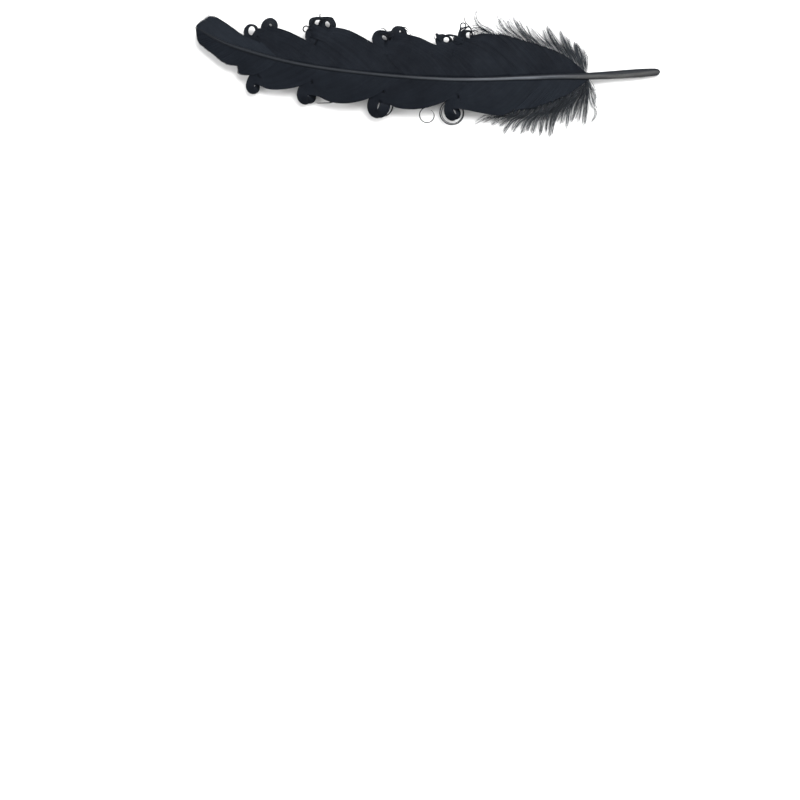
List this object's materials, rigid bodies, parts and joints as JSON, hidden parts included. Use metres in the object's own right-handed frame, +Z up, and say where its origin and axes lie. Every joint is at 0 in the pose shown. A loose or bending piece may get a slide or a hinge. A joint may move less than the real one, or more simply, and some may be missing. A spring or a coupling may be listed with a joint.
{
  "type": "goose quill feather",
  "caption": "Curled goose feather: a bare quill tapering into an arched shaft, two barbed vanes with rolled edges and downy tufts at the base.",
  "frame": {"origin": "on the surface that the feather lies on, under the middle of its length and width", "axes": "+X from the tip to the quill's end, +Y across to the leading vane, +Z up out of the domed face"},
  "size_m": [0.18, 0.0468, 0.0078],
  "materials": {
    "quill": "dyed horn, half gloss, scuffed",
    "vane": "dyed barbs, satin",
    "down": "dyed down, matte"
  },
  "bodies": {
    "root": {"quill_shaft": "quill", "leading_vane": "vane", "trailing_vane": "vane", "leading_down": "down", "trailing_down": "down"}
  },
  "joints": []
}
